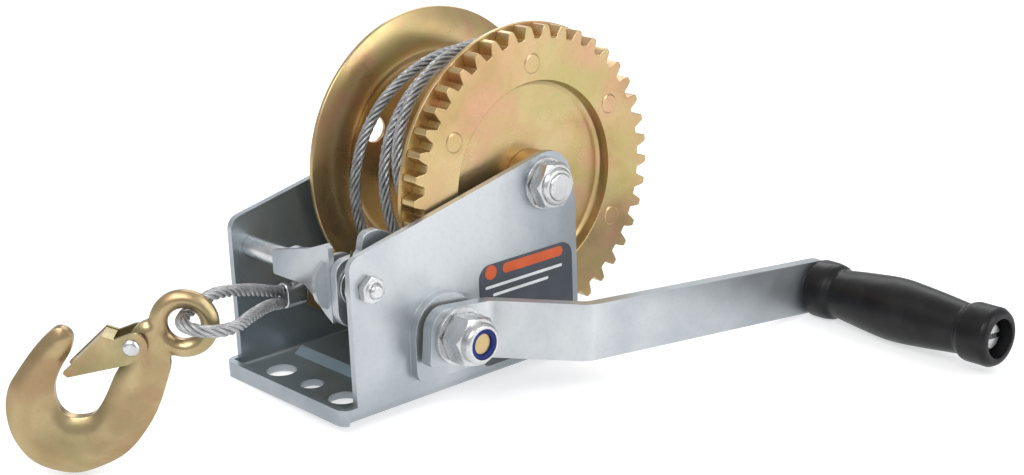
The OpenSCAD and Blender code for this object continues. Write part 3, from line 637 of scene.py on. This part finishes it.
def make_light():
    world = bpy.data.worlds.new("studio")
    bpy.context.scene.world = world
    world.use_nodes = True
    tree = world.node_tree
    background = tree.nodes["Background"]
    place = tree.nodes.new("ShaderNodeTexCoord")
    split = tree.nodes.new("ShaderNodeSeparateXYZ")
    ramp = tree.nodes.new("ShaderNodeValToRGB")
    tree.links.new(place.outputs["Generated"], split.inputs["Vector"])
    tree.links.new(split.outputs["Z"], ramp.inputs["Fac"])
    stops = ((0.0, (0.56, 0.58, 0.60, 1)), (0.9, (1.0, 1.0, 1.0, 1)))
    for stop, (position, colour) in zip(ramp.color_ramp.elements, stops):
        stop.position = position
        stop.color = colour
    tree.links.new(ramp.outputs["Color"], background.inputs["Color"])
    background.inputs["Strength"].default_value = 0.8
    area_light("key", (0.35, -0.75, 1.05), (0.03, 0.05, 0.05), (0.9, 0.6), 9)
    area_light("side", (1.15, 0.45, 0.75), (0.05, 0.1, 0.05), (0.6, 0.9), 5)
    area_light("low", (0.94, 0.57, 0.17), (-0.03, 0.06, 0.11), (0.3, 0.14), 1.3)
    area_light("back", (-0.7, 0.95, 0.85), (0.0, 0.1, 0.06), (1.1, 0.5), 5)
    bpy.context.scene.view_settings.view_transform = "Standard"


# ---------- the winch ----------


SHAFT_Y = 35.5 * MM
SHAFT_Z = 28.6 * MM
PAD_INNER_R = 14 * MM
PAD_OUTER_R = 24 * MM
STRIPE_CORNERS = 24


def near(value, target, within=0.1 * MM):
    return abs(value - target) < within


def from_shaft(p):
    return math.hypot(p.y - SHAFT_Y, p.z - SHAFT_Z)


def make_frame_plate():
    """Folded sheet: sheared edges rounded a little, the pressed pad rounded more."""
    plate_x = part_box("data_label")[0].x
    pad_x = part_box("winch_frame")[1].x

    def on_pad_rim(p):
        return near(p.x, pad_x) and from_shaft(p) > PAD_INNER_R

    def at_pad_foot(p):
        return near(p.x, plate_x) and PAD_INNER_R < from_shaft(p) < PAD_OUTER_R

    piece = finished(
        "winch_frame", "zinc_plate", 0.45 * MM, 3, 30,
        [(1.6 * MM, 4, on_pad_rim), (1.2 * MM, 3, at_pad_foot)],
    )
    # The inner faces get a darker copy of the zinc: painted shade where the folded sheet shelters them.
    piece.data.materials.append(LOOKS["zinc_inside_painted_shade"])
    for face in piece.data.polygons:
        x, y, z = face.center
        if abs(x) < plate_x - 2.6 * MM and y > -12.4 * MM and z > 2.6 * MM:
            face.material_index = 1


def print_stripe(name, look, y0, y1, z0, z1):
    """A printed stripe with round ends on the label; sizes in mm."""
    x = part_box("data_label")[1].x + 0.02 * MM
    r = min(y1 - y0, z1 - z0) / 2
    corners = []
    for k in range(STRIPE_CORNERS):
        a = 2 * math.pi * (k + 0.5) / STRIPE_CORNERS
        y = (y1 - r if math.cos(a) > 0 else y0 + r) + r * math.cos(a)
        z = (z1 - r if math.sin(a) > 0 else z0 + r) + r * math.sin(a)
        corners.append((x, y * MM, z * MM))
    mesh = bpy.data.meshes.new(name)
    mesh.from_pydata(corners, [], [tuple(range(STRIPE_CORNERS))])
    new_piece(name, mesh, "frame", look, weighted=False)


# Nodes, look, colour slot, width of the rounded edge in mm and its segments
FINISHES = (
    (("drum_axle_bolt", "drum_axle_nut", "crank_nut", "grip_lock_nut", "pawl_rod_nut"),
     "bright_steel", "bright_steel", 0, 2),
    (("grip_bolt",), "bright_steel", "bright_steel", 0.35, 2),
    (("axle_washers", "crank_washer", "grip_washer", "pawl_washers"), "bright_steel", "bright_steel", 0.2, 2),
    (("pawl_rod",), "bright_steel", "bright_steel", 0.5, 3),
    (("cable_ferrule",), "bright_steel", "bright_steel", 0.6, 3),
    (("cable_anchor",), "bright_steel", "bright_steel", 0.5, 2),
    (("anchor_screw",), "bright_steel", "bright_steel", 0.2, 2),
    (("axle_sleeve",), "dark_steel", "dark_steel", 0.3, 2),
    (("drive_shaft",), "gold_zinc", "gold_zinc", 0.3, 2),
    (("near_shaft_bushing", "far_shaft_bushing", "drum_bushings"), "bronze", "bronze", 0.2, 2),
    (("pinion_gear", "shaft_clip"), "dark_steel", "dark_steel", 0.25, 2),
    (("pawl_spring", "latch_spring"), "dark_steel", "dark_steel", 0, 2),
    (("drum_barrel",), "gold_zinc", "gold_zinc", 0.3, 2),
    (("near_flange",), "gold_zinc", "gold_zinc", 0.4, 2),
    (("far_flange",), "gold_zinc", "gold_zinc", 0.5, 3),
    (("gear_rivets",), "gold_zinc", "gold_zinc", 0.3, 2),
    (("drum_gear",), "gold_zinc", "gold_zinc", 0.45, 3),
    (("crank_arm",), "zinc_arm", "zinc_plate", 0.9, 3),
    (("crank_nut_insert",), "blue_nylon", "blue_nylon", 0.3, 2),
    (("hand_grip",), "black_plastic", "black_plastic", 0.6, 3),
    (("pawl_blade", "pawl_web"), "zinc_plate", "zinc_plate", 0.4, 2),
    (("latch_rivet",), "bright_steel", "bright_steel", 0.6, 3),
    (("hook_latch",), "hook_gold", "gold_zinc", 0.35, 2),
)


def make_label():
    """The label and its printed marks, with their sides and heights in mm."""
    finished("data_label", "label_film", 0.1 * MM)
    print_stripe("label_dot", "print_orange", 60.2, 66.4, 42.4, 48.6)
    print_stripe("label_bar", "print_orange", 69.8, 103.6, 43.4, 47.8)
    print_stripe("label_line_upper", "print_white", 60.0, 103.0, 38.6, 39.9)
    print_stripe("label_line_lower", "print_white", 64.0, 95.0, 34.8, 36.1)


def make_parts():
    make_frame_plate()
    make_label()
    for nodes, look, slot, width, segments in FINISHES:
        for node in nodes:
            finished(node, look, width * MM, segments)


make_camera()
ropes, pull_path, loop_path = make_ropes()
make_parts()
make_hook()
make_floor()
make_light()
